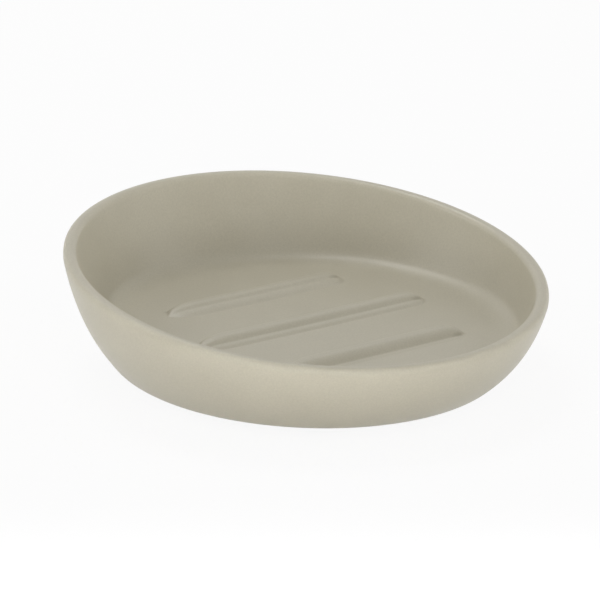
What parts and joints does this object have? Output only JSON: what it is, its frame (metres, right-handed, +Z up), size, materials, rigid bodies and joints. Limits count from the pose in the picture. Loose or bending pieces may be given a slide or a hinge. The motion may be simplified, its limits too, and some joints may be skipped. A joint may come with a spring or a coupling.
{
  "type": "soap dish",
  "caption": "Oval ceramic soap dish: a shallow bowl with a slanted rounded rim, drainage ribs on its dished floor and soft anti-slip feet under its base ring.",
  "frame": {"origin": "on the table, under the middle of the rim's outline", "axes": "+X along the long axis towards the low end of the rim, +Y along the ribs, +Z up"},
  "size_m": [0.13, 0.119, 0.0337],
  "materials": {
    "glaze": "satin-matt greige glaze over stoneware",
    "foot": "translucent matt silicone",
    "adhesive": "acrylic adhesive film"
  },
  "bodies": {
    "root": {"dish_body": "glaze", "foot_front_right": "foot", "foot_back_right": "foot", "foot_back_left": "foot", "foot_front_left": "foot", "foot_adhesive_front_right": "adhesive", "foot_adhesive_back_right": "adhesive", "foot_adhesive_back_left": "adhesive", "foot_adhesive_front_left": "adhesive"}
  },
  "joints": []
}
